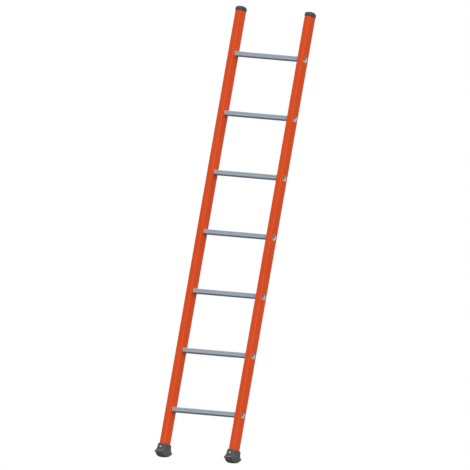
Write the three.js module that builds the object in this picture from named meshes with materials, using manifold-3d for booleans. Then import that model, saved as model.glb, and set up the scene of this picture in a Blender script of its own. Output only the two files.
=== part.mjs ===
// Straight leaning ladder: two closed-tube stiles, seven through rungs on flanged bushes,
// two top caps, and two rocker shoes with rubber treads held by rivets.
// Millimetres. X runs along the rungs, Y through the ladder (climber at -Y), Z up the stiles.
import * as THREE from 'three';
import { mergeVertices } from 'three/addons/utils/BufferGeometryUtils.js';
import Module from 'manifold-3d';

const wasm = await Module();
wasm.setup();

// Overall arrangement.
const RUNG_COUNT = 7;
const RUNG_PITCH = 280;
const FOOT_LENGTH = 225.4;
const HEAD_LENGTH = 225.3;
const HEIGHT = FOOT_LENGTH + (RUNG_COUNT - 1) * RUNG_PITCH + HEAD_LENGTH;
const STILE_SPACING = 395;
const GAP = 0.3;

// Stile tube.
const STILE_WIDTH = 31.4;
const STILE_DEPTH = 51;
const STILE_WALL = 3;
const STILE_RADIUS = 6;
const STILE_INNER_RADIUS = 3.6;

// Rung section: flat top, upright sides, tapered underside. Each end is swaged into a countersink.
const RUNG_DEPTH = 25;
const RUNG_HEIGHT = 23.5;
const RUNG_TAPER = 4.8;
const RUNG_WALL = 2;
const RUNG_TOP_RADIUS = 3;
const RUNG_LOW_RADIUS = 2;
const FLARE_GROWTH = 0.9;
const FLARE_LENGTH = 1.8;
const RUNG_RECESS = 0.3;
const RUNG_LIP = 0.9;

// Rung bush: a collar against the inner face and a barrel between the tube walls.
const BUSH_WALL = 0.5;
const COLLAR_GROWTH = 1.3;
const COLLAR_LENGTH = 4;

// Top cap.
const CAP_HEIGHT = 22.5;
const CAP_SKIRT = 1.5;
const CAP_RADIUS = 7.5;
const CAP_ROOF = 13;
const CAP_DOME = 15;
const CAP_PLUG_LENGTH = 30;
const CAP_PLUG_WALL = 2.2;

// Shoe and tread.
const SHOE_HEIGHT = 61.6;
const SHOE_WALL_TOP = 4.7;
const SHOE_WALL_LOW = 7.8;
const SHOE_FLARE_BOTTOM = 31.6;
const SHOE_SEAT = 20;
const SLEEVE_RADIUS = 8;
const SOLE_HALF_WIDTH = 25;
const SOLE_HALF_DEPTH = 39.5;
const SOLE_CORNER = 4.5;
const SOLE_FLAT = 9;
const SOLE_CROWN_RADIUS = 50;
const ROCKER_RADIUS = 36;
const ROCKER_ANGLE = 38;
const LAND_INNER_ANGLE = 4;
const LAND_OUTER_ANGLE = 26;
const GROOVE_OUTER_ANGLE = 33;
const TREAD_THICKNESS = 3.8;
const GROOVE_DEPTH = 2.2;
const TIP_GROOVE_INNER = 7.1;
const TIP_GROOVE_OUTER = 3.1;

// Rivets through the shoe and the stile wall.
const RIVET_Z = 44;
const RIVET_HEAD_RADIUS = 5.8;
const RIVET_HEAD_HEIGHT = 2.6;
const RIVET_SHANK_RADIUS = 2.5;
const RIVET_SEAT = 5.6;
const SPOT_FACE_RADIUS = 7;
const RIVET_SHANK_LENGTH = RIVET_SEAT + STILE_WALL + 2;

const GLASS_FIBRE = { color: 0xdb542a, roughness: 0.45, metalness: 0 };
const ALUMINIUM = { color: 0xb4bac0, roughness: 0.4, metalness: 0.9 };
const GREY_PLASTIC = { color: 0x595c5b, roughness: 0.6, metalness: 0 };
const RUBBER = { color: 0x2f3032, roughness: 0.85, metalness: 0 };
const RIVET_STEEL = { color: 0xc3cad0, roughness: 0.3, metalness: 1 };

const radians = THREE.MathUtils.degToRad;

// ---- flat outlines ----

// Rounds each corner of an anticlockwise outline; every corner gives steps + 1 points.
function roundedOutline(corners, radii, steps) {
  const points = [];
  corners.forEach((corner, i) => {
    const previous = corners[(i + corners.length - 1) % corners.length];
    const next = corners[(i + 1) % corners.length];
    const toPrevious = previous.clone().sub(corner).normalize();
    const toNext = next.clone().sub(corner).normalize();
    const halfAngle = Math.acos(toPrevious.dot(toNext)) / 2;
    const inward = toPrevious.clone().add(toNext).normalize();
    const centre = corner.clone().addScaledVector(inward, radii[i] / Math.sin(halfAngle));
    const sweep = Math.PI - 2 * halfAngle;
    const startAngle = Math.atan2(-inward.y, -inward.x) - sweep / 2;
    for (let k = 0; k <= steps; k += 1) {
      const angle = startAngle + (sweep * k) / steps;
      const spoke = new THREE.Vector2(Math.cos(angle), Math.sin(angle));
      points.push(centre.clone().addScaledVector(spoke, radii[i]));
    }
  });
  return points;
}

function roundedRectangle(halfX, halfY, radius, steps = 4) {
  const corners = [
    new THREE.Vector2(-halfX, -halfY),
    new THREE.Vector2(halfX, -halfY),
    new THREE.Vector2(halfX, halfY),
    new THREE.Vector2(-halfX, halfY),
  ];
  return roundedOutline(corners, [radius, radius, radius, radius], steps);
}

// The rung's outline with every side moved out by growth.
function rungOutline(growth) {
  const halfDepth = RUNG_DEPTH / 2 + growth;
  const halfHeight = RUNG_HEIGHT / 2 + growth;
  const taper = RUNG_TAPER + growth * (2 - Math.SQRT2);
  const corners = [
    new THREE.Vector2(-halfDepth, -halfHeight + taper),
    new THREE.Vector2(-halfDepth + taper, -halfHeight),
    new THREE.Vector2(halfDepth - taper, -halfHeight),
    new THREE.Vector2(halfDepth, -halfHeight + taper),
    new THREE.Vector2(halfDepth, halfHeight),
    new THREE.Vector2(-halfDepth, halfHeight),
  ];
  const low = Math.max(RUNG_LOW_RADIUS + growth, 0.4);
  const top = Math.max(RUNG_TOP_RADIUS + growth, 0.6);
  return roundedOutline(corners, [low, low, low, low, top, top], 3);
}

// ---- solids ----

function prism(outline, from, to) {
  const options = { depth: to - from, bevelEnabled: false, curveSegments: 1 };
  return new THREE.ExtrudeGeometry(new THREE.Shape(outline), options).translate(0, 0, from);
}

// Joins a row of outlines with equal point counts; open rows get a flat lid at each end.
function loft(sections, closedRow = false) {
  const count = sections[0].outline.length;
  const positions = [];
  sections.forEach((section) => {
    section.outline.forEach((point) => positions.push(point.x, point.y, section.at));
  });
  const triangles = [];
  const rows = closedRow ? sections.length : sections.length - 1;
  for (let row = 0; row < rows; row += 1) {
    const lower = row * count;
    const upper = ((row + 1) % sections.length) * count;
    for (let i = 0; i < count; i += 1) {
      const j = (i + 1) % count;
      triangles.push(lower + i, lower + j, upper + j);
      triangles.push(lower + i, upper + j, upper + i);
    }
  }
  if (!closedRow) {
    const top = (sections.length - 1) * count;
    THREE.ShapeUtils.triangulateShape(sections[0].outline, []).forEach(([a, b, c]) => {
      triangles.push(a, c, b);
    });
    THREE.ShapeUtils.triangulateShape(sections.at(-1).outline, []).forEach(([a, b, c]) => {
      triangles.push(top + a, top + b, top + c);
    });
  }
  const geometry = new THREE.BufferGeometry();
  geometry.setAttribute('position', new THREE.Float32BufferAttribute(positions, 3));
  geometry.setIndex(triangles);
  return geometry;
}

function toSolid(geometry) {
  const bare = geometry.clone();
  bare.deleteAttribute('normal');
  bare.deleteAttribute('uv');
  const merged = mergeVertices(bare, 1e-4);
  return new wasm.Manifold(new wasm.Mesh({
    numProp: 3,
    vertProperties: merged.attributes.position.array,
    triVerts: new Uint32Array(merged.index.array),
  }));
}

function toGeometry(solid) {
  const mesh = solid.getMesh();
  const geometry = new THREE.BufferGeometry();
  geometry.setAttribute('position', new THREE.BufferAttribute(mesh.vertProperties, 3));
  geometry.setIndex(new THREE.BufferAttribute(mesh.triVerts, 1));
  return geometry;
}

// Turns a solid swept along Z so that it runs along X: its outline then lies in Y and Z.
function alongX(geometry) {
  const turn = new THREE.Matrix4().makeBasis(
    new THREE.Vector3(0, 1, 0),
    new THREE.Vector3(0, 0, 1),
    new THREE.Vector3(1, 0, 0),
  );
  return geometry.applyMatrix4(turn);
}

// ---- stiles ----

function rungHeights() {
  return Array.from({ length: RUNG_COUNT }, (_, i) => FOOT_LENGTH + i * RUNG_PITCH);
}

// A rung-shaped cutter running along X between two positions.
function rungCutter(growth, fromX, toX, z) {
  return toSolid(alongX(prism(rungOutline(growth), fromX, toX)).translate(0, 0, z));
}

// The countersink in a stile's outer face that takes a rung's swaged end.
function countersink(outward, z) {
  const face = STILE_WIDTH / 2;
  const sections = [
    { at: face - FLARE_LENGTH - RUNG_RECESS, outline: rungOutline(GAP) },
    { at: face - RUNG_RECESS, outline: rungOutline(GAP + FLARE_GROWTH) },
    { at: face + 1, outline: rungOutline(GAP + FLARE_GROWTH) },
  ];
  const ordered = outward > 0 ? sections : sections.map((s) => ({ ...s, at: -s.at })).reverse();
  return toSolid(alongX(loft(ordered)).translate(0, 0, z));
}

// A stile centred on X = 0, with its outer face on the side given.
function stileGeometry(outward) {
  const halfWidth = STILE_WIDTH / 2;
  const halfDepth = STILE_DEPTH / 2;
  const bottom = SHOE_SEAT + GAP;
  const top = HEIGHT - CAP_ROOF - GAP;
  const outside = roundedRectangle(halfWidth, halfDepth, STILE_RADIUS);
  const inside = roundedRectangle(
    halfWidth - STILE_WALL,
    halfDepth - STILE_WALL,
    STILE_INNER_RADIUS,
  );
  let tube = toSolid(prism(outside, bottom, top));
  tube = tube.subtract(toSolid(prism(inside, bottom - 1, top + 1)));
  rungHeights().forEach((z) => {
    const outerCut = [0, outward * (halfWidth + 1)].sort((a, b) => a - b);
    const innerCut = [0, -outward * (halfWidth + 1)].sort((a, b) => a - b);
    tube = tube.subtract(rungCutter(GAP, outerCut[0], outerCut[1], z));
    tube = tube.subtract(rungCutter(2 * GAP + BUSH_WALL, innerCut[0], innerCut[1], z));
    tube = tube.subtract(countersink(outward, z));
  });
  return toGeometry(tube.subtract(shankHoles()));
}

function shankHoles() {
  const hole = new THREE.CylinderGeometry(
    RIVET_SHANK_RADIUS + GAP,
    RIVET_SHANK_RADIUS + GAP,
    STILE_DEPTH + 40,
    24,
  );
  return toSolid(hole.translate(0, 0, RIVET_Z));
}

// ---- rungs and bushes ----

function rungGeometry() {
  const outerFace = (STILE_SPACING + STILE_WIDTH) / 2;
  const end = outerFace - RUNG_RECESS;
  const flareStart = end - FLARE_LENGTH;
  const outer = [
    { at: -end, growth: FLARE_GROWTH },
    { at: -flareStart, growth: 0 },
    { at: flareStart, growth: 0 },
    { at: end, growth: FLARE_GROWTH },
  ];
  const inner = [
    { at: end, growth: FLARE_GROWTH - RUNG_LIP },
    { at: end - 3, growth: -RUNG_WALL },
    { at: 3 - end, growth: -RUNG_WALL },
    { at: -end, growth: FLARE_GROWTH - RUNG_LIP },
  ];
  const sections = [...outer, ...inner].map(({ at, growth }) => ({
    at,
    outline: rungOutline(growth),
  }));
  return alongX(loft(sections, true));
}

// A bush whose collar faces the ladder's middle; outward is the side of its stile.
function bushGeometry(outward) {
  const innerFace = STILE_SPACING / 2 - STILE_WIDTH / 2 - GAP;
  const collarEnd = innerFace - COLLAR_LENGTH;
  const barrelEnd = STILE_SPACING / 2 + STILE_WIDTH / 2 - STILE_WALL - GAP;
  const barrel = GAP + BUSH_WALL;
  const profile = [
    { at: collarEnd, growth: COLLAR_GROWTH - 0.6 },
    { at: collarEnd + 0.8, growth: COLLAR_GROWTH },
    { at: innerFace, growth: COLLAR_GROWTH },
    { at: innerFace, growth: barrel },
    { at: barrelEnd, growth: barrel },
    { at: barrelEnd, growth: GAP },
    { at: collarEnd, growth: GAP },
  ];
  const ordered = outward > 0 ? profile : profile.map((p) => ({ ...p, at: -p.at })).reverse();
  const sections = ordered.map(({ at, growth }) => ({ at, outline: rungOutline(growth) }));
  return alongX(loft(sections, true));
}

// ---- top caps ----

// The outside: an upright skirt whose sections narrow into a dome, slower across X than Y.
function capShell() {
  const halfX = STILE_WIDTH / 2 + CAP_SKIRT;
  const halfY = STILE_DEPTH / 2 + CAP_SKIRT;
  const steepest = radians(84);
  const sections = [{ at: HEIGHT - CAP_HEIGHT, outline: roundedRectangle(halfX, halfY, CAP_RADIUS) }];
  for (let k = 0; k <= 9; k += 1) {
    const angle = (steepest * k) / 9;
    const narrowing = Math.cos(angle);
    const rise = (CAP_DOME * Math.sin(angle)) / Math.sin(steepest);
    const outline = roundedRectangle(
      halfX * narrowing ** 0.6,
      halfY * narrowing,
      CAP_RADIUS * narrowing ** 0.9,
    );
    sections.push({ at: HEIGHT - CAP_DOME + rise, outline });
  }
  return loft(sections);
}

function capGeometry() {
  const halfX = STILE_WIDTH / 2;
  const halfY = STILE_DEPTH / 2;
  const roof = HEIGHT - CAP_ROOF;
  const pocket = roundedRectangle(halfX + GAP, halfY + GAP, STILE_RADIUS + GAP);
  const plugHalfX = halfX - STILE_WALL - GAP;
  const plugHalfY = halfY - STILE_WALL - GAP;
  const plug = roundedRectangle(plugHalfX, plugHalfY, STILE_INNER_RADIUS);
  const hollow = roundedRectangle(
    plugHalfX - CAP_PLUG_WALL,
    plugHalfY - CAP_PLUG_WALL,
    STILE_INNER_RADIUS - CAP_PLUG_WALL,
  );
  let cap = toSolid(capShell());
  cap = cap.subtract(toSolid(prism(pocket, HEIGHT - CAP_HEIGHT - 1, roof)));
  cap = cap.add(toSolid(prism(plug, roof - CAP_PLUG_LENGTH, roof + 1)));
  cap = cap.subtract(toSolid(prism(hollow, roof - CAP_PLUG_LENGTH - 1, roof)));
  return toGeometry(cap);
}

// ---- shoes and treads ----

// A point on the rocker, raised by lift, at an angle measured from straight down.
function rockerPoint(angle, lift) {
  const radius = ROCKER_RADIUS - lift;
  const lowest = 1 - Math.cos(radians(LAND_INNER_ANGLE));
  const y = radius * Math.sin(radians(angle));
  const z = ROCKER_RADIUS - radius * Math.cos(radians(angle)) - ROCKER_RADIUS * lowest;
  return new THREE.Vector2(y, z);
}

// A point on the straight bevel past the rocker, at the given Y, raised square to the bevel.
function bevelPoint(y, lift) {
  const start = rockerPoint(ROCKER_ANGLE, 0);
  const slope = Math.tan(radians(ROCKER_ANGLE));
  const z = start.y + (y - start.x) * slope + lift / Math.cos(radians(ROCKER_ANGLE));
  return new THREE.Vector2(y, z);
}

// Mirrors a half outline that runs from the middle outwards into a full one.
function mirrored(half) {
  const other = half.map((point) => new THREE.Vector2(-point.x, point.y)).reverse();
  return [...other, ...half];
}

// Half depth of the sole at a distance x from its middle: its corners are rounded in plan.
function soleHalfDepth(x) {
  const past = Math.max(0, Math.abs(x) - SOLE_HALF_WIDTH + SOLE_CORNER);
  return SOLE_HALF_DEPTH - SOLE_CORNER + Math.sqrt(SOLE_CORNER ** 2 - past ** 2);
}

// How far the crowned tread has lifted off the ground at a distance x from its flat middle.
function crownLift(x) {
  const past = Math.max(0, Math.abs(x) - SOLE_FLAT);
  return SOLE_CROWN_RADIUS - Math.sqrt(SOLE_CROWN_RADIUS ** 2 - past ** 2);
}

// The lower line of the tread, with its cross grooves, from the middle to the tip.
// The last groove keeps its distance from the tip where the sole's corners are rounded.
function treadUnderside(lift, halfDepth) {
  const groove = lift + GROOVE_DEPTH * (1 - lift / TREAD_THICKNESS);
  const tipGrooveStart = halfDepth - TIP_GROOVE_INNER;
  const tipGrooveEnd = halfDepth - TIP_GROOVE_OUTER;
  return [
    rockerPoint(LAND_INNER_ANGLE, groove),
    rockerPoint(LAND_INNER_ANGLE, lift),
    rockerPoint(LAND_OUTER_ANGLE, lift),
    rockerPoint(LAND_OUTER_ANGLE, groove),
    rockerPoint(GROOVE_OUTER_ANGLE, groove),
    rockerPoint(GROOVE_OUTER_ANGLE, lift),
    bevelPoint(tipGrooveStart, lift),
    bevelPoint(tipGrooveStart - 0.6, groove),
    bevelPoint(tipGrooveEnd - 0.6, groove),
    bevelPoint(tipGrooveEnd, lift),
    bevelPoint(halfDepth - 1, lift),
    bevelPoint(halfDepth, lift + 0.5),
  ];
}

// The face between tread and shoe, from the middle to the tip, raised by lift.
function soleLine(lift, halfDepth) {
  const line = [];
  for (let angle = 0; angle <= ROCKER_ANGLE; angle += 9.5) {
    line.push(rockerPoint(angle, lift));
  }
  line.push(bevelPoint(halfDepth, lift));
  return line;
}

// Positions across the sole where its section is drawn, closer together at the ends.
function soleStations() {
  const corner = SOLE_HALF_WIDTH - SOLE_CORNER;
  const half = [SOLE_FLAT, (SOLE_FLAT + corner) / 2, corner, corner + 3.2, SOLE_HALF_WIDTH];
  return [...half.map((x) => -x).reverse(), ...half];
}

function treadGeometry() {
  const sections = soleStations().map((x) => {
    const under = mirrored(treadUnderside(crownLift(x), soleHalfDepth(x)));
    const ceiling = mirrored(soleLine(TREAD_THICKNESS, soleHalfDepth(x)).slice(1));
    return { at: x, outline: [...under, ...ceiling.reverse()] };
  });
  return alongX(loft(sections));
}

// The shoe's sole block: lips front and back that blend into the sleeve.
function soleBlock() {
  const sleeveY = STILE_DEPTH / 2 + SHOE_WALL_LOW - 1;
  const sections = soleStations().map((x) => {
    const line = soleLine(TREAD_THICKNESS + GAP, soleHalfDepth(x)).slice(1);
    const tip = line.at(-1);
    const upper = [
      new THREE.Vector2(tip.x, tip.y + 1.2),
      new THREE.Vector2(tip.x - 1, tip.y + 2),
      new THREE.Vector2(sleeveY + 0.8, SHOE_FLARE_BOTTOM - 0.5),
      new THREE.Vector2(sleeveY - 0.6, SHOE_FLARE_BOTTOM + 3),
    ];
    return { at: x, outline: [...mirrored(line), ...mirrored(upper.reverse()).reverse()] };
  });
  return toSolid(alongX(loft(sections)));
}

// The sleeve's outside at a given thickness over the stile.
function sleeveOutline(wall) {
  return roundedRectangle(STILE_WIDTH / 2 + wall, STILE_DEPTH / 2 + wall, SLEEVE_RADIUS);
}

function shoeGeometry() {
  const sleeve = loft([
    { at: SHOE_SEAT + 4, outline: sleeveOutline(SHOE_WALL_LOW) },
    { at: SHOE_FLARE_BOTTOM, outline: sleeveOutline(SHOE_WALL_LOW) },
    { at: RIVET_Z, outline: sleeveOutline(SHOE_WALL_TOP + 0.9) },
    { at: SHOE_HEIGHT - 3, outline: sleeveOutline(SHOE_WALL_TOP) },
    { at: SHOE_HEIGHT - 0.9, outline: sleeveOutline(SHOE_WALL_TOP - 0.9) },
    { at: SHOE_HEIGHT, outline: sleeveOutline(SHOE_WALL_TOP - 2.6) },
  ]);
  const pocket = roundedRectangle(
    STILE_WIDTH / 2 + GAP,
    STILE_DEPTH / 2 + GAP,
    STILE_RADIUS + GAP,
  );
  let shoe = toSolid(sleeve).add(soleBlock());
  shoe = shoe.subtract(toSolid(prism(pocket, SHOE_SEAT, SHOE_HEIGHT + 1)));
  shoe = shoe.subtract(shankHoles());
  [-1, 1].forEach((side) => {
    const spotFace = new THREE.CylinderGeometry(SPOT_FACE_RADIUS, SPOT_FACE_RADIUS, 10, 32);
    const y = side * (STILE_DEPTH / 2 + RIVET_SEAT - GAP + 5);
    shoe = shoe.subtract(toSolid(spotFace.translate(0, y, RIVET_Z)));
  });
  return toGeometry(shoe);
}

// A domed rivet whose head faces along Y on the side given.
function rivetGeometry(side) {
  const profile = [new THREE.Vector2(0, -RIVET_SHANK_LENGTH)];
  profile.push(new THREE.Vector2(RIVET_SHANK_RADIUS, -RIVET_SHANK_LENGTH));
  profile.push(new THREE.Vector2(RIVET_SHANK_RADIUS, 0));
  profile.push(new THREE.Vector2(RIVET_HEAD_RADIUS, 0));
  for (let k = 1; k <= 5; k += 1) {
    const angle = (Math.PI / 2) * (k / 5);
    const radius = k === 5 ? 0 : RIVET_HEAD_RADIUS * Math.cos(angle);
    profile.push(new THREE.Vector2(radius, RIVET_HEAD_HEIGHT * Math.sin(angle)));
  }
  const geometry = new THREE.LatheGeometry(profile, 24);
  if (side < 0) geometry.rotateX(Math.PI);
  const seat = STILE_DEPTH / 2 + RIVET_SEAT;
  return geometry.translate(0, side * seat, RIVET_Z);
}

// ---- assembly ----

function addPiece(group, name, geometry, look, x = 0, z = 0) {
  const flat = geometry.index ? geometry.toNonIndexed() : geometry;
  flat.computeVertexNormals();
  const material = new THREE.MeshStandardMaterial({ ...look, flatShading: true });
  const mesh = new THREE.Mesh(flat, material);
  mesh.name = name;
  mesh.position.set(x, 0, z);
  group.add(mesh);
}

function addSide(group, side, outward) {
  const x = outward * (STILE_SPACING / 2);
  addPiece(group, `stile_${side}`, stileGeometry(outward), GLASS_FIBRE, x);
  addPiece(group, `top_cap_${side}`, capGeometry(), GREY_PLASTIC, x);
  addPiece(group, `shoe_${side}`, shoeGeometry(), GREY_PLASTIC, x);
  addPiece(group, `tread_${side}`, treadGeometry(), RUBBER, x);
  addPiece(group, `rivet_front_${side}`, rivetGeometry(-1), RIVET_STEEL, x);
  addPiece(group, `rivet_back_${side}`, rivetGeometry(1), RIVET_STEEL, x);
  rungHeights().forEach((z, i) => {
    addPiece(group, `rung_bush_${side}_${i + 1}`, bushGeometry(outward), ALUMINIUM, 0, z);
  });
}

function buildLadder() {
  const ladder = new THREE.Group();
  ladder.name = 'ladder';
  rungHeights().forEach((z, i) => {
    addPiece(ladder, `rung_${i + 1}`, rungGeometry(), ALUMINIUM, 0, z);
  });
  addSide(ladder, 'left', -1);
  addSide(ladder, 'right', 1);
  return ladder;
}

export default buildLadder();
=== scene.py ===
"""Leaning ladder: glass-fibre stiles, ribbed aluminium rungs, moulded caps and rocker shoes.

Metres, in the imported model's own frame: X along the rungs, Y through the ladder, Z up the stiles.
"""

import math

import bmesh
import bpy
from mathutils import Matrix, Vector


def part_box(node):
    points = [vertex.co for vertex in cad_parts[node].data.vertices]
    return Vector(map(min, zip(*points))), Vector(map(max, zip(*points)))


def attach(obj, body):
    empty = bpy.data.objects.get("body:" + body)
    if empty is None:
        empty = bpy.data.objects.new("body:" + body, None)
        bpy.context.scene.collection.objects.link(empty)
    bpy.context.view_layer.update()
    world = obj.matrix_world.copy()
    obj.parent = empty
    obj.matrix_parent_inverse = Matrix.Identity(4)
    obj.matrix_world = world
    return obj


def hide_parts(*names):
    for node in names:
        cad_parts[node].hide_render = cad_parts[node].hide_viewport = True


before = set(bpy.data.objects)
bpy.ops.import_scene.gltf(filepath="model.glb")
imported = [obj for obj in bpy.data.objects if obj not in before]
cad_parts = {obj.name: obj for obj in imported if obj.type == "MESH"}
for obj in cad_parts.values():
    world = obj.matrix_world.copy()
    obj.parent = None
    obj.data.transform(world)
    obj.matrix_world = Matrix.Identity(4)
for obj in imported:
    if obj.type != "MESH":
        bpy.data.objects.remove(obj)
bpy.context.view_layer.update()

MM = 0.001
SIDES = {"left": -1, "right": 1}
RUNG_NODES = sorted(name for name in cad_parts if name.startswith("rung_") and "bush" not in name)

# Clearance between pieces, millimetres.
GAP = 0.3

# Stile tube, millimetres.
STILE_WALL = 3.0
STILE_RADIUS = 6.0
STILE_INNER_RADIUS = 3.6

# Rung section, millimetres.
RUNG_DEPTH = 25.0
RUNG_HEIGHT = 23.5
RUNG_TAPER = 4.8
RUNG_WALL = 2.0
RUNG_TOP_RADIUS = 3.0
RUNG_LOW_RADIUS = 2.0

# Grooves between the rung's ribs, millimetres.
RIB_PITCH = 2.5
RIB_GROOVE_WIDTH = 1.2
TOP_GROOVES = 7
TOP_GROOVE_DEPTH = 0.8
SIDE_GROOVES = 3
SIDE_GROOVE_DEPTH = 0.5

# Swaged rung end, millimetres.
FLARE_GROWTH = 0.9
FLARE_LENGTH = 1.8
RUNG_RECESS = 0.3
# The bore and the cut ends, which take a paint of their own, paler than the rung's outside as painted
# light on them: how far inside the section's outline a face of the bore lies, and how far in from the
# end a cut face reaches.
BORE_INSET = 1.0
CUT_END_LENGTH = 0.9

# Rung bush, millimetres.
BUSH_WALL = 0.5
COLLAR_GROWTH = 1.3
COLLAR_LENGTH = 4.0

# Top cap, millimetres.
CAP_SKIRT = 1.5
CAP_RADIUS = 7.5
CAP_HEIGHT = 22.5
CAP_ROOF = 13.0
CAP_DOME = 15.0
CAP_PLUG_LENGTH = 30.0
CAP_PLUG_WALL = 2.2
CAP_DOME_STEPS = 22
CAP_DOME_SWEEP = math.radians(84)

# Shoe and tread, millimetres. SOLE_JOINT is the clearance between the two.
SHOE_WALL_TOP = 4.7
SHOE_WALL_LOW = 7.8
SHOE_SEAT = 20.0
SLEEVE_RADIUS = 8.0
SOLE_HALF_WIDTH = 25.0
SOLE_HALF_DEPTH = 39.5
# The shoe's lip ends where its curve meets the underside.
LIP_HALF_DEPTH = 39.05
SOLE_CORNER = 4.5
SOLE_FLAT = 9.0
SOLE_CROWN_RADIUS = 50.0
ROCKER_RADIUS = 36.0
ROCKER_ANGLE = math.radians(38)
LAND_INNER_ANGLE = math.radians(4)
LAND_OUTER_ANGLE = math.radians(26)
GROOVE_OUTER_ANGLE = math.radians(33)
TREAD_THICKNESS = 3.8
SOLE_JOINT = 0.08
GROOVE_DEPTH = 2.2
TIP_GROOVE_INNER = 7.1
TIP_GROOVE_OUTER = 3.1

# Rivet, millimetres.
RIVET_HEAD_RADIUS = 5.8
RIVET_HEAD_HEIGHT = 2.6
RIVET_SHANK_RADIUS = 2.5
RIVET_SIDES = 40

# Camera: a parallel view from the climber's right, a little below square to the stiles.
VIEW_AZIMUTH = math.radians(36)
VIEW_ELEVATION = math.radians(-6.85)
VIEW_ROLL = math.radians(9.95)
VIEW_WIDTH = 2.1704
VIEW_AIM = Vector((-0.0094, 0.0, 1.0626))
VIEW_DISTANCE = 8.0

# Studio floor, metres.
FLOOR_HALF_WIDTH = 90.0


# ---- flat outlines, millimetres ----


def rounded_outline(corners, radii, steps):
    """Points of an anticlockwise outline whose corners are rounded, steps + 1 points each."""
    points = []
    for i, (corner, radius) in enumerate(zip(corners, radii)):
        corner = Vector(corner)
        to_previous = (Vector(corners[i - 1]) - corner).normalized()
        to_next = (Vector(corners[(i + 1) % len(corners)]) - corner).normalized()
        half_angle = math.acos(to_previous.dot(to_next)) / 2
        inward = (to_previous + to_next).normalized()
        centre = corner + inward * (radius / math.sin(half_angle))
        sweep = math.pi - 2 * half_angle
        start = math.atan2(-inward.y, -inward.x) - sweep / 2
        for k in range(steps + 1):
            angle = start + sweep * k / steps
            points.append(centre + radius * Vector((math.cos(angle), math.sin(angle))))
    return points


def rounded_rectangle(half_x, half_y, radius, steps=8, side_steps=1):
    """A rectangle with round corners; its straight sides are split into side_steps pieces."""
    corners = [(-half_x, -half_y), (half_x, -half_y), (half_x, half_y), (-half_x, half_y)]
    rounded = rounded_outline(corners, [radius] * 4, steps)
    points = []
    for i, point in enumerate(rounded):
        points.append(point)
        if i % (steps + 1) == steps:
            following = rounded[(i + 1) % len(rounded)]
            points += [point.lerp(following, k / side_steps) for k in range(1, side_steps)]
    return points


def grooved_edge(start, end, centres, depth):
    """Points of parallel grooves cut along a straight edge; centres are distances from start."""
    along = (end - start).normalized()
    inward = Vector((-along.y, along.x))
    points = []
    for centre in centres:
        half = RIB_GROOVE_WIDTH / 2
        for offset, sink in ((-half, 0), (-half * 0.6, depth), (half * 0.6, depth), (half, 0)):
            points.append(start + along * (centre + offset) + inward * sink)
    return points


def rung_outline(growth, groove=0.0, steps=5):
    """The rung's section in Y and Z, every side moved out by growth; groove 1 cuts the ribs."""
    half_depth = RUNG_DEPTH / 2 + growth
    half_height = RUNG_HEIGHT / 2 + growth
    taper = RUNG_TAPER + growth * (2 - math.sqrt(2))
    corners = [
        (-half_depth, -half_height + taper),
        (-half_depth + taper, -half_height),
        (half_depth - taper, -half_height),
        (half_depth, -half_height + taper),
        (half_depth, half_height),
        (-half_depth, half_height),
    ]
    low = max(RUNG_LOW_RADIUS + growth, 0.4)
    top = max(RUNG_TOP_RADIUS + growth, 0.6)
    points = rounded_outline(corners, [low, low, low, low, top, top], steps)
    per_corner = steps + 1
    right_top = points[4 * per_corner]
    top_right = points[5 * per_corner - 1]
    top_left = points[5 * per_corner]
    left_top = points[-1]
    side_centres = [RIB_PITCH * (k + 0.6) for k in range(SIDE_GROOVES)]
    right_low = points[4 * per_corner - 1]
    left_low = points[0]
    right_length = (right_top - right_low).length
    top_length = (top_left - top_right).length
    middle = (TOP_GROOVES - 1) / 2
    top_centres = [top_length / 2 + (k - middle) * RIB_PITCH for k in range(TOP_GROOVES)]
    right_centres = [right_length - c for c in reversed(side_centres)]
    right = grooved_edge(right_low, right_top, right_centres, SIDE_GROOVE_DEPTH * groove)
    across = grooved_edge(top_right, top_left, top_centres, TOP_GROOVE_DEPTH * groove)
    left = grooved_edge(left_top, left_low, side_centres, SIDE_GROOVE_DEPTH * groove)
    return (
        points[: 4 * per_corner]
        + right
        + points[4 * per_corner : 5 * per_corner]
        + across
        + points[5 * per_corner :]
        + left
    )


# ---- meshes ----


def new_object(name, bm):
    """Turns a bmesh into a scene object with outward normals."""
    mesh = bpy.data.meshes.new(name)
    bmesh.ops.recalc_face_normals(bm, faces=bm.faces)
    bm.to_mesh(mesh)
    bm.free()
    piece = bpy.data.objects.new(name, mesh)
    bpy.context.scene.collection.objects.link(piece)
    return piece


def loft(name, rows, ring=False):
    """Skins rows of points (metres, equal counts); open rows get a flat lid at each end."""
    bm = bmesh.new()
    layers = [[bm.verts.new(point) for point in row] for row in rows]
    pairs = list(zip(layers, layers[1:]))
    if ring:
        pairs.append((layers[-1], layers[0]))
    for lower, upper in pairs:
        for i in range(len(lower)):
            j = (i + 1) % len(lower)
            bm.faces.new((lower[i], lower[j], upper[j], upper[i]))
    if not ring:
        bm.faces.new(list(reversed(layers[0])))
        bm.faces.new(layers[-1])
    bmesh.ops.remove_doubles(bm, verts=bm.verts, dist=1e-7)
    return new_object(name, bm)


def upright_row(outline, z, x=0.0, y=0.0):
    """An outline in X and Y (millimetres) placed at height z (metres)."""
    return [Vector((x + p.x * MM, y + p.y * MM, z)) for p in outline]


def crosswise_row(outline, x, z=0.0):
    """An outline in Y and Z (millimetres) placed at x (metres) and raised to z."""
    return [Vector((x, p.x * MM, z + p.y * MM)) for p in outline]


def smooth(piece, angle=32):
    """Smooth shading, with edges sharper than the angle kept crisp."""
    mesh = piece.data
    mesh.polygons.foreach_set("use_smooth", [True] * len(mesh.polygons))
    mesh.set_sharp_from_angle(angle=math.radians(angle))


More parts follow.
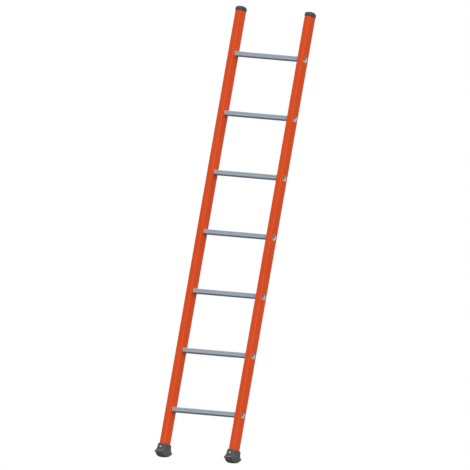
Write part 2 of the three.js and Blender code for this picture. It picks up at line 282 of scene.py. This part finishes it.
def bevel(piece, width, segments=2, angle=30):
    modifier = piece.modifiers.new("edge_bevel", "BEVEL")
    modifier.width = width
    modifier.segments = segments
    modifier.limit_method = "ANGLE"
    modifier.angle_limit = math.radians(angle)
    modifier.harden_normals = False


def even_normals(piece):
    modifier = piece.modifiers.new("even_normals", "WEIGHTED_NORMAL")
    modifier.keep_sharp = True


def place(piece, node, slot, material):
    """The detailed piece takes its CAD node's place and its material; its slot is not used."""
    piece.data.materials.clear()
    piece.data.materials.append(material)
    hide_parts(node)
    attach(piece, "root")


def cut(piece, cutters):
    """Takes the cutters out of the piece and removes them."""
    for cutter in cutters:
        modifier = piece.modifiers.new("cut", "BOOLEAN")
        modifier.operation = "DIFFERENCE"
        modifier.object = cutter
    bpy.context.view_layer.update()
    evaluated = piece.evaluated_get(bpy.context.evaluated_depsgraph_get())
    mesh = bpy.data.meshes.new_from_object(evaluated)
    piece.modifiers.clear()
    piece.data = mesh
    for cutter in cutters:
        bpy.data.objects.remove(cutter)


# ---- pieces ----


def stile_centre(side):
    low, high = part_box(f"stile_{side}")
    return (low.x + high.x) / 2


def half_section():
    """Half width and half depth of a stile, millimetres."""
    low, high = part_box("stile_left")
    return (high.x - low.x) / 2 / MM, (high.y - low.y) / 2 / MM


def rung_height(node):
    low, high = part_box(node)
    return (low.z + high.z) / 2


def make_countersink(x, outward, z):
    """A cutter for the countersink in a stile's outer face that takes a rung's swaged end."""
    half_x, _ = half_section()
    profile = [
        (half_x - FLARE_LENGTH - RUNG_RECESS, GAP),
        (half_x - RUNG_RECESS, GAP + FLARE_GROWTH),
        (half_x + 1, GAP + FLARE_GROWTH),
    ]
    if outward < 0:
        profile.reverse()
    rows = [crosswise_row(rung_outline(g), x + outward * at * MM, z) for at, g in profile]
    return loft("cutter", rows)


def make_stile(side, material):
    """The tube, cut for each rung, for its bush on the inner side and its countersink outside."""
    outward = SIDES[side]
    half_x, half_y = half_section()
    low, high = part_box(f"stile_{side}")
    x = stile_centre(side)
    outside = rounded_rectangle(half_x, half_y, STILE_RADIUS)
    inside = rounded_rectangle(half_x - STILE_WALL, half_y - STILE_WALL, STILE_INNER_RADIUS)
    rows = [
        upright_row(outside, low.z, x),
        upright_row(outside, high.z, x),
        upright_row(inside, high.z, x),
        upright_row(inside, low.z, x),
    ]
    piece = loft(f"stile_{side}_tube", rows, ring=True)
    wide, narrow, countersinks = [], [], []
    for node in RUNG_NODES:
        z = rung_height(node)
        inner_cut = sorted((x, x - outward * (half_x + 1) * MM))
        outer_cut = sorted((x, x + outward * (half_x + 1) * MM))
        big = rung_outline(2 * GAP + BUSH_WALL)
        small = rung_outline(GAP)
        wide.append(loft("cutter", [crosswise_row(big, end, z) for end in inner_cut]))
        narrow.append(loft("cutter", [crosswise_row(small, end, z) for end in outer_cut]))
        countersinks.append(make_countersink(x, outward, z))
    cut(piece, wide + narrow + countersinks)
    smooth(piece)
    even_normals(piece)
    place(piece, f"stile_{side}", "glass_fibre", material)


def paint_bore(piece, z, end, material):
    """The tube's bore and its cut ends take a material of their own: raw aluminium painted paler, as
    painted light in the bore.
    """
    piece.data.materials.append(material)
    bore_y = (RUNG_DEPTH / 2 - BORE_INSET) * MM
    bore_z = (RUNG_HEIGHT / 2 - BORE_INSET) * MM
    for polygon in piece.data.polygons:
        middle = polygon.center
        near_axis = abs(middle.y) < bore_y and abs(middle.z - z) < bore_z
        faces_axis = middle.y * polygon.normal.y + (middle.z - z) * polygon.normal.z < 0
        if (near_axis and faces_axis) or abs(middle.x) > (end - CUT_END_LENGTH) * MM:
            polygon.material_index = 1


def make_rung(node, material, bore_material_and_painted_light):
    """The hollow rung with its ribs, and its swaged ends in the stiles' countersinks."""
    z = rung_height(node)
    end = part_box(node)[1].x / MM
    outer_half = [
        (end - 24, 0.0, 1.0),
        (end - 18, 0.0, 0.3),
        (end - 15, 0.0, 0.0),
        (end - FLARE_LENGTH, 0.0, 0.0),
        (end - 0.3, FLARE_GROWTH * 0.83, 0.0),
        (end, FLARE_GROWTH - 0.25, 0.0),
    ]
    inner_half = [
        (end, FLARE_GROWTH - 1.0, 0.0),
        (end - 0.2, FLARE_GROWTH - 1.5, 0.0),
        (end - 0.8, FLARE_GROWTH - 2.1, 0.0),
        (end - 1.8, FLARE_GROWTH - 2.6, 0.0),
        (end - 3.4, -RUNG_WALL, 0.0),
    ]
    outer = [(-x, g, r) for x, g, r in reversed(outer_half)] + outer_half
    inner = inner_half + [(-x, g, r) for x, g, r in reversed(inner_half)]
    rows = [crosswise_row(rung_outline(g, r), x * MM, z) for x, g, r in outer + inner]
    piece = loft(f"{node}_tube", rows, ring=True)
    smooth(piece, 38)
    place(piece, node, "rung_aluminium", material)
    paint_bore(piece, z, end, bore_material_and_painted_light)


def make_bush(side, number, material):
    """The collar against the stile's inner face, with its barrel between the tube walls."""
    outward = SIDES[side]
    z = rung_height(f"rung_{number}")
    half_x, _ = half_section()
    inner_face = abs(stile_centre(side)) / MM - half_x - GAP
    collar_end = inner_face - COLLAR_LENGTH
    barrel_end = abs(stile_centre(side)) / MM + half_x - STILE_WALL - GAP
    barrel = GAP + BUSH_WALL
    profile = [
        (collar_end + 0.1, GAP + 0.2),
        (collar_end, GAP + 0.35),
        (collar_end, COLLAR_GROWTH - 0.75),
        (collar_end + 0.12, COLLAR_GROWTH - 0.4),
        (collar_end + 0.4, COLLAR_GROWTH - 0.12),
        (collar_end + 0.8, COLLAR_GROWTH),
        (inner_face - 0.3, COLLAR_GROWTH),
        (inner_face, COLLAR_GROWTH - 0.2),
        (inner_face, barrel),
        (barrel_end, barrel),
        (barrel_end, GAP),
        (collar_end + 0.4, GAP),
    ]
    rows = [crosswise_row(rung_outline(g), outward * x * MM, z) for x, g in profile]
    piece = loft(f"rung_bush_{side}_{number}_collar", rows, ring=True)
    smooth(piece, 38)
    place(piece, f"rung_bush_{side}_{number}", "bush_aluminium", material)


def make_cap(side, material):
    """Dome and skirt outside the stile's end, with a hollow plug inside the tube."""
    half_x, half_y = half_section()
    node = f"top_cap_{side}"
    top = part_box(node)[1].z / MM
    x = stile_centre(side)
    skirt_x, skirt_y = half_x + CAP_SKIRT, half_y + CAP_SKIRT
    bottom = top - CAP_HEIGHT
    roof = top - CAP_ROOF
    shape = []
    for k in range(CAP_DOME_STEPS, -1, -1):
        angle = CAP_DOME_SWEEP * k / CAP_DOME_STEPS
        narrowing = math.cos(angle)
        rise = CAP_DOME * math.sin(angle) / math.sin(CAP_DOME_SWEEP)
        section = (skirt_x * narrowing**0.6, skirt_y * narrowing, CAP_RADIUS * narrowing**0.9)
        shape.append((*section, top - CAP_DOME + rise))
    plug_x = half_x - STILE_WALL - GAP
    plug_y = half_y - STILE_WALL - GAP
    shape += [
        (skirt_x, skirt_y, CAP_RADIUS, bottom + 3.4),
        (skirt_x + 0.2, skirt_y + 0.2, CAP_RADIUS + 0.2, bottom + 2.8),
        (skirt_x + 0.2, skirt_y + 0.2, CAP_RADIUS + 0.2, bottom + 0.5),
        (skirt_x - 0.2, skirt_y - 0.2, CAP_RADIUS - 0.2, bottom),
        (half_x + GAP + 0.3, half_y + GAP + 0.3, STILE_RADIUS + 0.6, bottom),
        (half_x + GAP, half_y + GAP, STILE_RADIUS + 0.3, bottom + 0.4),
        (half_x + GAP, half_y + GAP, STILE_RADIUS + 0.3, roof),
        (plug_x, plug_y, STILE_INNER_RADIUS, roof),
        (plug_x, plug_y, STILE_INNER_RADIUS, roof - CAP_PLUG_LENGTH),
        (plug_x - CAP_PLUG_WALL, plug_y - CAP_PLUG_WALL, 1.4, roof - CAP_PLUG_LENGTH),
        (plug_x - CAP_PLUG_WALL, plug_y - CAP_PLUG_WALL, 1.4, roof),
    ]
    rows = [upright_row(rounded_rectangle(a, b, r), z * MM, x) for a, b, r, z in shape]
    piece = loft(f"top_cap_{side}_dome", rows)
    smooth(piece, 40)
    place(piece, node, "cap_plastic", material)


def rocker_base():
    """How far the rocker is lowered so that its lands touch the ground, millimetres."""
    return ROCKER_RADIUS * (1 - math.cos(LAND_INNER_ANGLE))


def rocker_point(angle, lift):
    """A point on the rocker's arc, moved up from the tread's surface by lift."""
    radius = ROCKER_RADIUS - lift
    height = ROCKER_RADIUS - radius * math.cos(angle) - rocker_base()
    return Vector((radius * math.sin(angle), height))


def bevel_point(y, lift):
    """A point on the straight slope that carries on from the rocker's arc to the tip."""
    start = rocker_point(ROCKER_ANGLE, 0)
    height = start.y + (y - start.x) * math.tan(ROCKER_ANGLE) + lift / math.cos(ROCKER_ANGLE)
    return Vector((y, height))


def sole_half_depth(x):
    """Half depth of the sole at a distance x from its middle: its corners are rounded in plan."""
    past = max(0.0, abs(x) - SOLE_HALF_WIDTH + SOLE_CORNER)
    return SOLE_HALF_DEPTH - SOLE_CORNER + math.sqrt(SOLE_CORNER**2 - past**2)


def crown_lift(x):
    """How far the crowned tread has lifted off the ground at a distance x from its middle."""
    past = max(0.0, abs(x) - SOLE_FLAT)
    return SOLE_CROWN_RADIUS - math.sqrt(SOLE_CROWN_RADIUS**2 - past**2)


def sole_height(y, lift):
    """Height of the line between tread and shoe at a distance y from the middle."""
    y = abs(y)
    radius = ROCKER_RADIUS - lift
    if y <= radius * math.sin(ROCKER_ANGLE):
        return ROCKER_RADIUS - math.sqrt(radius**2 - y**2) - rocker_base()
    return bevel_point(y, lift).y


def make_shoe(side, material):
    """Sleeve round the stile's end that flares into lips over a rocker-shaped underside."""
    half_x, half_y = half_section()
    x = stile_centre(side)
    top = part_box(f"shoe_{side}")[1].z / MM
    sleeve = [
        (GAP, STILE_RADIUS + GAP, SHOE_SEAT),
        (GAP, STILE_RADIUS + GAP, top - 0.5),
        (GAP + 0.5, STILE_RADIUS + 0.8, top),
        (SHOE_WALL_TOP - 2.9, SLEEVE_RADIUS - 1.0, top),
        (SHOE_WALL_TOP - 2.0, SLEEVE_RADIUS - 0.8, top - 0.2),
        (SHOE_WALL_TOP - 1.2, SLEEVE_RADIUS - 0.5, top - 0.65),
        (SHOE_WALL_TOP - 0.6, SLEEVE_RADIUS - 0.2, top - 1.3),
        (SHOE_WALL_TOP - 0.2, SLEEVE_RADIUS, top - 2.1),
        (SHOE_WALL_TOP, SLEEVE_RADIUS, top - 3.2),
        (SHOE_WALL_TOP + 0.4, SLEEVE_RADIUS, top - 8),
        (SHOE_WALL_TOP + 0.9, SLEEVE_RADIUS, top - 17.6),
        (SHOE_WALL_TOP + 1.6, SLEEVE_RADIUS, top - 23.5),
        (SHOE_WALL_LOW - 0.2, SLEEVE_RADIUS - 0.5, top - 29),
    ]
    lips = [
        (23.9, 33.7, 6.8, 30.4),
        (24.3, 34.4, 6.2, 29.0),
        (24.6, 35.6, 5.6, 27.7),
        (24.8, 37.3, 5.0, 26.8),
        (24.9, 38.5, 4.7, 26.2),
        (SOLE_HALF_WIDTH, LIP_HALF_DEPTH - 0.1, SOLE_CORNER, 25.85),
    ]
    sections = [(half_x + wall, half_y + wall, radius, z) for wall, radius, z in sleeve] + lips
    rows = []
    for section_x, section_y, radius, z in sections:
        outline = rounded_rectangle(section_x, section_y, radius, side_steps=16)
        rows.append(upright_row(outline, z * MM, x))
    edge = rounded_rectangle(SOLE_HALF_WIDTH, LIP_HALF_DEPTH, SOLE_CORNER, side_steps=16)
    for share in (1.0, 0.5, 0.0):
        row = []
        for p in edge:
            height = sole_height(p.y, TREAD_THICKNESS + SOLE_JOINT)
            row.append(Vector((x + share * p.x * MM, p.y * MM, height * MM)))
        rows.append(row)
    piece = loft_closed_below(f"shoe_{side}_moulding", rows)
    smooth(piece, 35)
    place(piece, f"shoe_{side}", "shoe_plastic", material)


def loft_closed_below(name, rows):
    """A loft whose first row gets a lid and whose last row has closed onto a line."""
    bm = bmesh.new()
    layers = [[bm.verts.new(point) for point in row] for row in rows]
    for lower, upper in zip(layers, layers[1:]):
        for i in range(len(lower)):
            j = (i + 1) % len(lower)
            bm.faces.new((lower[i], lower[j], upper[j], upper[i]))
    bm.faces.new(list(reversed(layers[0])))
    bmesh.ops.remove_doubles(bm, verts=bm.verts, dist=1e-6)
    bmesh.ops.dissolve_degenerate(bm, edges=bm.edges, dist=1e-7)
    return new_object(name, bm)


def tread_half(lift, half_depth):
    """The tread's lower line from the middle to the tip, with its cross grooves."""
    groove = lift + GROOVE_DEPTH * (1 - lift / TREAD_THICKNESS)
    tip_groove_start = half_depth - TIP_GROOVE_INNER
    tip_groove_end = half_depth - TIP_GROOVE_OUTER
    return [
        rocker_point(LAND_INNER_ANGLE, groove),
        rocker_point(LAND_INNER_ANGLE, lift + 0.4),
        rocker_point(LAND_INNER_ANGLE + math.radians(0.6), lift),
        rocker_point(LAND_OUTER_ANGLE - math.radians(0.6), lift),
        rocker_point(LAND_OUTER_ANGLE, lift + 0.4),
        rocker_point(LAND_OUTER_ANGLE, groove),
        rocker_point(GROOVE_OUTER_ANGLE, groove),
        rocker_point(GROOVE_OUTER_ANGLE, lift + 0.4),
        rocker_point(GROOVE_OUTER_ANGLE + math.radians(0.6), lift),
        bevel_point(tip_groove_start - 0.4, lift),
        bevel_point(tip_groove_start - 0.1, lift + 0.4),
        bevel_point(tip_groove_start - 0.6, groove),
        bevel_point(tip_groove_end - 0.6, groove),
        bevel_point(tip_groove_end - 0.1, lift + 0.4),
        bevel_point(tip_groove_end + 0.4, lift),
        bevel_point(half_depth - 1, lift),
        bevel_point(half_depth - 0.3, lift + 0.2),
        bevel_point(half_depth, lift + 0.7),
    ]


def tread_outline(x):
    """The tread's section in Y and Z at a distance x from its middle."""
    half_depth = sole_half_depth(x)
    half = tread_half(crown_lift(x), half_depth)
    upper = [bevel_point(half_depth, TREAD_THICKNESS)]
    for k in range(8, 0, -1):
        upper.append(rocker_point(ROCKER_ANGLE * k / 8, TREAD_THICKNESS))
    outline = [Vector((-p.x, p.y)) for p in reversed(half)] + half + upper
    outline.append(rocker_point(0, TREAD_THICKNESS))
    return outline + [Vector((-p.x, p.y)) for p in reversed(upper)]


def make_tread(side, material):
    """The rubber sole, lofted across the foot so that its crown and corners are round."""
    x = stile_centre(side)
    corner = SOLE_HALF_WIDTH - SOLE_CORNER
    half = [0.0, SOLE_FLAT, 11.0, 13.0, 15.0, 17.0, 19.0]
    for k in range(9):
        half.append(corner + SOLE_CORNER * math.sin(math.pi / 2 * k / 8))
    stations = [-distance for distance in reversed(half[1:])] + half
    rows = [crosswise_row(tread_outline(station), x + station * MM) for station in stations]
    piece = loft(f"tread_{side}_sole", rows)
    bevel(piece, 0.35 * MM, angle=50)
    smooth(piece, 30)
    place(piece, f"tread_{side}", "tread_rubber", material)


def make_rivet(place_name, side, material):
    """A domed blind rivet, its broken pin showing in the middle of the head."""
    node = f"rivet_{place_name}_{side}"
    low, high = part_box(node)
    outward = -1 if place_name == "front" else 1
    x = stile_centre(side)
    z = (low.z + high.z) / 2
    seat = (high.y - RIVET_HEAD_HEIGHT * MM) if outward > 0 else (low.y + RIVET_HEAD_HEIGHT * MM)
    length = (high.y - low.y) / MM - RIVET_HEAD_HEIGHT
    profile = [(RIVET_SHANK_RADIUS, -length), (RIVET_SHANK_RADIUS, 0.0), (RIVET_HEAD_RADIUS - 0.2, 0.0)]
    profile.append((RIVET_HEAD_RADIUS, 0.25))
    for k in range(1, 8):
        angle = math.radians(10 * k)
        profile.append((RIVET_HEAD_RADIUS * math.cos(angle), 0.25 + 2.35 * math.sin(angle)))
    profile += [(1.45, 2.5), (1.3, 2.25), (1.25, 1.7), (1.1, 1.65), (1.05, 2.0), (0.7, 2.1)]
    rows = []
    for radius, rise in profile:
        row = []
        for k in range(RIVET_SIDES):
            angle = 2 * math.pi * k / RIVET_SIDES
            y = seat + outward * rise * MM
            row.append(Vector((x + radius * math.cos(angle) * MM, y, z + radius * math.sin(angle) * MM)))
        rows.append(row)
    piece = loft(f"{node}_head", rows)
    smooth(piece, 35)
    place(piece, node, "rivet_steel", material)


# ---- materials ----


class Recipe:
    """A material being mixed: adds nodes and links them in a line or two."""

    def __init__(self, name):
        self.material = bpy.data.materials.new(name)
        self.material.use_nodes = True
        self.tree = self.material.node_tree
        self.shader = self.tree.nodes["Principled BSDF"]

    def add(self, kind, **inputs):
        node = self.tree.nodes.new(kind)
        for key, value in inputs.items():
            node.inputs[key.replace("_", " ")].default_value = value
        return node

    def link(self, output, socket):
        self.tree.links.new(output, socket)

    def noise(self, stretch, scale, detail=4.0, roughness=0.55):
        """Noise in object space, stretched by the three factors; small factors make long streaks."""
        place = self.add("ShaderNodeTexCoord")
        mapping = self.add("ShaderNodeMapping", Scale=stretch)
        noise = self.add("ShaderNodeTexNoise", Scale=scale, Detail=detail, Roughness=roughness)
        self.link(place.outputs["Object"], mapping.inputs["Vector"])
        self.link(mapping.outputs["Vector"], noise.inputs["Vector"])
        return noise.outputs["Fac"]

    def spread(self, value, low, high, out_low, out_high):
        """Maps low..high of a value onto out_low..out_high."""
        node = self.add("ShaderNodeMapRange")
        self.link(value, node.inputs["Value"])
        node.inputs["From Min"].default_value = low
        node.inputs["From Max"].default_value = high
        node.inputs["To Min"].default_value = out_low
        node.inputs["To Max"].default_value = out_high
        return node.outputs["Result"]

    def ramp(self, value, stops):
        node = self.add("ShaderNodeValToRGB")
        elements = node.color_ramp.elements
        while len(elements) < len(stops):
            elements.new(0.5)
        for element, (position, color) in zip(elements, stops):
            element.position = position
            element.color = (*color, 1.0)
        self.link(value, node.inputs["Fac"])
        return node.outputs["Color"]

    def mix(self, factor, first, second, blend="MIX"):
        node = self.add("ShaderNodeMix")
        node.data_type = "RGBA"
        node.blend_type = blend
        if isinstance(factor, float):
            node.inputs["Factor"].default_value = factor
        else:
            self.link(factor, node.inputs["Factor"])
        sockets = [s for s in node.inputs if s.type == "RGBA"]
        for socket, value in zip(sockets, (first, second)):
            if isinstance(value, tuple):
                socket.default_value = (*value, 1.0)
            else:
                self.link(value, socket)
        return next(s for s in node.outputs if s.type == "RGBA")

    def bump(self, height, distance, strength, after=None):
        node = self.add("ShaderNodeBump", Strength=strength, Distance=distance)
        self.link(height, node.inputs["Height"])
        if after is not None:
            self.link(after, node.inputs["Normal"])
        return node.outputs["Normal"]

    def finish(self, color, roughness, normal, metallic=0.0, **sockets):
        self.link(color, self.shader.inputs["Base Color"])
        self.link(roughness, self.shader.inputs["Roughness"])
        self.link(normal, self.shader.inputs["Normal"])
        self.shader.inputs["Metallic"].default_value = metallic
        for key, value in sockets.items():
            self.shader.inputs[key.replace("_", " ")].default_value = value
        return self.material


def glass_fibre():
    """Pigmented pultrusion: fibres run up the stile under a satin skin."""
    mix = Recipe("glass_fibre_orange")
    fibres = mix.noise((1.0, 1.0, 0.012), 1500.0, 5.0, 0.6)
    bundles = mix.noise((1.0, 1.0, 0.02), 260.0, 3.0)
    clouds = mix.noise((1.0, 1.0, 0.35), 14.0, 2.0)
    base = mix.ramp(clouds, [(0.3, (0.745, 0.0725, 0.0068)), (0.7, (0.815, 0.0855, 0.0095))])
    streaks = mix.ramp(fibres, [(0.30, (0.84, 0.84, 0.84)), (0.72, (1.0, 1.0, 1.0))])
    color = mix.mix(0.5, base, streaks, "MULTIPLY")
    roughness = mix.spread(bundles, 0.3, 0.7, 0.40, 0.54)
    normal = mix.bump(fibres, 0.0002, 0.22)
    normal = mix.bump(bundles, 0.0006, 0.12, normal)
    return mix.finish(color, roughness, normal, Specular_IOR_Level=0.2)


def rung_aluminium():
    """Extruded aluminium: fine die lines run the rung's length, with cloudy patches of varied roughness.
    """
    mix = Recipe("rung_extruded_aluminium")
    lines = mix.noise((0.010, 1.0, 1.0), 2600.0, 4.0, 0.6)
    bands = mix.noise((0.03, 1.0, 1.0), 420.0, 3.0)
    clouds = mix.noise((0.5, 1.0, 1.0), 60.0, 3.0)
    tone = mix.ramp(bands, [(0.3, (0.455, 0.515, 0.565)), (0.7, (0.52, 0.58, 0.63))])
    color = mix.mix(mix.spread(lines, 0.3, 0.7, 0.0, 0.4), tone, (0.38, 0.435, 0.48))
    roughness = mix.spread(clouds, 0.3, 0.7, 0.44, 0.56)
    normal = mix.bump(lines, 0.0001, 0.18)
    return mix.finish(color, roughness, normal, metallic=0.5)


def bore_aluminium_and_painted_light():
    """Raw aluminium in the rung's bore and on its sawn ends, matt and a little warm; its paleness is
    painted light that stands in for light reaching the bore.
    """
    mix = Recipe("bore_raw_aluminium_painted_light")
    grain = mix.noise((0.3, 1.0, 1.0), 1500.0, 4.0)
    clouds = mix.noise((1.0, 1.0, 1.0), 160.0, 3.0)
    # Painted light: these pale tones stand in for light falling into the bore and onto the cut ends.
    color = mix.ramp(clouds, [(0.3, (0.62, 0.595, 0.55)), (0.7, (0.73, 0.705, 0.66))])
    roughness = mix.spread(grain, 0.3, 0.7, 0.42, 0.56)
    normal = mix.bump(grain, 0.0002, 0.25)
    return mix.finish(color, roughness, normal, metallic=0.35)


def bush_aluminium():
    """Pressed and deburred aluminium, a little warmer than the rungs."""
    mix = Recipe("bush_pressed_aluminium")
    grain = mix.noise((1.0, 1.0, 1.0), 1800.0, 4.0)
    clouds = mix.noise((1.0, 1.0, 1.0), 180.0, 3.0)
    color = mix.ramp(clouds, [(0.3, (0.54, 0.52, 0.49)), (0.7, (0.62, 0.60, 0.56))])
    roughness = mix.spread(grain, 0.3, 0.7, 0.30, 0.44)
    normal = mix.bump(grain, 0.0001, 0.15)
    return mix.finish(color, roughness, normal, metallic=0.55)


def grained_plastic(name, dark, light):
    """Spark-eroded mould grain on a dark grey polymer."""
    mix = Recipe(name)
    grain = mix.noise((1.0, 1.0, 1.0), 1300.0, 3.0, 0.5)
    clouds = mix.noise((1.0, 1.0, 1.0), 45.0, 4.0)
    mottle = mix.ramp(grain, [(0.35, (0.86, 0.86, 0.86)), (0.65, (1.0, 1.0, 1.0))])
    color = mix.mix(0.7, mix.ramp(clouds, [(0.3, dark), (0.7, light)]), mottle, "MULTIPLY")
    roughness = mix.spread(grain, 0.3, 0.7, 0.58, 0.74)
    normal = mix.bump(grain, 0.0003, 0.5)
    return mix.finish(color, roughness, normal, Specular_IOR_Level=0.35)


def tread_rubber():
    """Grey rubber painted paler than the shoe, as painted light standing in for light from the floor
    below; paler again in dusty patches, with a fine moulded grain.
    """
    mix = Recipe("tread_rubber_grey")
    grain = mix.noise((1.0, 1.0, 1.0), 1100.0, 4.0, 0.6)
    dust = mix.noise((1.0, 1.0, 1.0), 90.0, 5.0, 0.65)
    # Painted light: these tones are paler than the shoe's to stand in for light from below.
    stops = [(0.30, (0.19, 0.19, 0.187)), (0.62, (0.235, 0.234, 0.23)), (0.85, (0.29, 0.286, 0.274))]
    color = mix.ramp(dust, stops)
    roughness = mix.spread(dust, 0.3, 0.7, 0.72, 0.92)
    normal = mix.bump(grain, 0.0003, 0.45)
    return mix.finish(color, roughness, normal, Specular_IOR_Level=0.35)


def rivet_steel():
    """Zinc-plated steel with faint forming marks."""
    mix = Recipe("rivet_plated_steel")
    marks = mix.noise((1.0, 1.0, 1.0), 900.0, 4.0)
    color = mix.ramp(marks, [(0.3, (0.48, 0.50, 0.51)), (0.7, (0.58, 0.60, 0.61))])
    roughness = mix.spread(marks, 0.3, 0.7, 0.34, 0.48)
    normal = mix.bump(marks, 0.0001, 0.12)
    return mix.finish(color, roughness, normal, metallic=1.0)


# ---- floor, light and camera ----


def floor_material():
    """A plain pale floor seen from above only: from below, the view passes through it."""
    mix = Recipe("studio_floor")
    clouds = mix.noise((1.0, 1.0, 1.0), 3.0, 3.0)
    grain = mix.noise((1.0, 1.0, 1.0), 400.0, 2.0)
    color = mix.ramp(clouds, [(0.3, (0.714, 0.714, 0.709)), (0.7, (0.718, 0.718, 0.713))])
    roughness = mix.spread(grain, 0.3, 0.7, 0.75, 0.85)
    mix.finish(color, roughness, mix.bump(grain, 0.0003, 0.05))
    side = mix.add("ShaderNodeNewGeometry")
    clear = mix.add("ShaderNodeBsdfTransparent")
    chosen = mix.add("ShaderNodeMixShader")
    output = mix.tree.nodes["Material Output"]
    mix.link(side.outputs["Backfacing"], chosen.inputs["Fac"])
    mix.link(mix.shader.outputs["BSDF"], chosen.inputs[1])
    mix.link(clear.outputs["BSDF"], chosen.inputs[2])
    mix.link(chosen.outputs["Shader"], output.inputs["Surface"])
    return mix.material


def make_floor():
    """The studio floor, which lights nothing back onto the ladder."""
    half = FLOOR_HALF_WIDTH
    bm = bmesh.new()
    corners = [(-half, -half, 0), (half, -half, 0), (half, half, 0), (-half, half, 0)]
    bm.faces.new([bm.verts.new(corner) for corner in corners])
    mesh = bpy.data.meshes.new("studio_floor")
    bm.to_mesh(mesh)
    bm.free()
    floor = bpy.data.objects.new("studio_floor", mesh)
    bpy.context.scene.collection.objects.link(floor)
    floor.data.materials.append(floor_material())
    floor.visible_diffuse = False
    floor.visible_glossy = False


def make_world():
    """A white backdrop, and a studio that is bright overhead and dim below."""
    world = bpy.data.worlds.new("studio")
    bpy.context.scene.world = world
    world.use_nodes = True
    nodes, links = world.node_tree.nodes, world.node_tree.links
    nodes.clear()
    direction = nodes.new("ShaderNodeTexCoord")
    split = nodes.new("ShaderNodeSeparateXYZ")
    height = nodes.new("ShaderNodeMapRange")
    height.inputs["From Min"].default_value = -1.0
    height.inputs["From Max"].default_value = 1.0
    shade = nodes.new("ShaderNodeValToRGB")
    shade.color_ramp.elements[0].position = 0.28
    shade.color_ramp.elements[0].color = (0.085, 0.105, 0.125, 1.0)
    shade.color_ramp.elements[1].position = 0.78
    shade.color_ramp.elements[1].color = (0.83, 0.85, 0.875, 1.0)
    studio = nodes.new("ShaderNodeBackground")
    backdrop = nodes.new("ShaderNodeBackground")
    backdrop.inputs["Color"].default_value = (1.0, 1.0, 1.0, 1.0)
    ray = nodes.new("ShaderNodeLightPath")
    chosen = nodes.new("ShaderNodeMixShader")
    output = nodes.new("ShaderNodeOutputWorld")
    links.new(direction.outputs["Generated"], split.inputs["Vector"])
    links.new(split.outputs["Z"], height.inputs["Value"])
    links.new(height.outputs["Result"], shade.inputs["Fac"])
    links.new(shade.outputs["Color"], studio.inputs["Color"])
    links.new(ray.outputs["Is Camera Ray"], chosen.inputs["Fac"])
    links.new(studio.outputs["Background"], chosen.inputs[1])
    links.new(backdrop.outputs["Background"], chosen.inputs[2])
    links.new(chosen.outputs["Shader"], output.inputs["Surface"])


def make_sun(name, towards, strength, softness):
    """A soft distant light that shines from the direction given."""
    light = bpy.data.lights.new(name, "SUN")
    light.energy = strength
    light.angle = math.radians(softness)
    lamp = bpy.data.objects.new(name, light)
    lamp.rotation_euler = Vector(towards).to_track_quat("Z", "Y").to_euler()
    bpy.context.scene.collection.objects.link(lamp)


def make_camera():
    """The parallel view, rolled about its own axis."""
    data = bpy.data.cameras.new("view")
    data.type = "ORTHO"
    data.ortho_scale = VIEW_WIDTH
    data.clip_end = 200.0
    camera = bpy.data.objects.new("view", data)
    bpy.context.scene.collection.objects.link(camera)
    toward = Vector((
        math.sin(VIEW_AZIMUTH) * math.cos(VIEW_ELEVATION),
        -math.cos(VIEW_AZIMUTH) * math.cos(VIEW_ELEVATION),
        math.sin(VIEW_ELEVATION),
    ))
    right = Vector((math.cos(VIEW_AZIMUTH), math.sin(VIEW_AZIMUTH), 0))
    up = toward.cross(right)
    rolled_right = right * math.cos(VIEW_ROLL) + up * math.sin(VIEW_ROLL)
    rolled_up = up * math.cos(VIEW_ROLL) - right * math.sin(VIEW_ROLL)
    turn = Matrix((rolled_right, rolled_up, toward)).transposed().to_4x4()
    camera.matrix_world = Matrix.Translation(VIEW_AIM + toward * VIEW_DISTANCE) @ turn
    bpy.context.scene.camera = camera


def make_ladder():
    fibre = glass_fibre()
    rung_metal = rung_aluminium()
    bore_metal_and_painted_light = bore_aluminium_and_painted_light()
    bush_metal = bush_aluminium()
    cap_plastic = grained_plastic("cap_grey_plastic", (0.060, 0.061, 0.058), (0.078, 0.079, 0.075))
    shoe_plastic = grained_plastic("shoe_grey_plastic", (0.074, 0.075, 0.073), (0.092, 0.093, 0.090))
    rubber = tread_rubber()
    steel = rivet_steel()
    for node in RUNG_NODES:
        make_rung(node, rung_metal, bore_metal_and_painted_light)
    for side in SIDES:
        make_stile(side, fibre)
        make_cap(side, cap_plastic)
        make_shoe(side, shoe_plastic)
        make_tread(side, rubber)
        for number in range(1, len(RUNG_NODES) + 1):
            make_bush(side, number, bush_metal)
        for place_name in ("front", "back"):
            make_rivet(place_name, side, steel)


bpy.context.scene.view_settings.view_transform = "Standard"
make_ladder()
make_floor()
make_world()
make_sun("key_light", (0.66, -0.56, 0.45), 1.4, 25)
make_sun("front_light", (0.0, -0.90, 0.45), 0.40, 40)
make_sun("floor_bounce", (0.55, -0.65, -0.52), 0.5, 60)
make_sun("back_light", (-0.60, 0.70, 0.35), 0.8, 40)
make_camera()
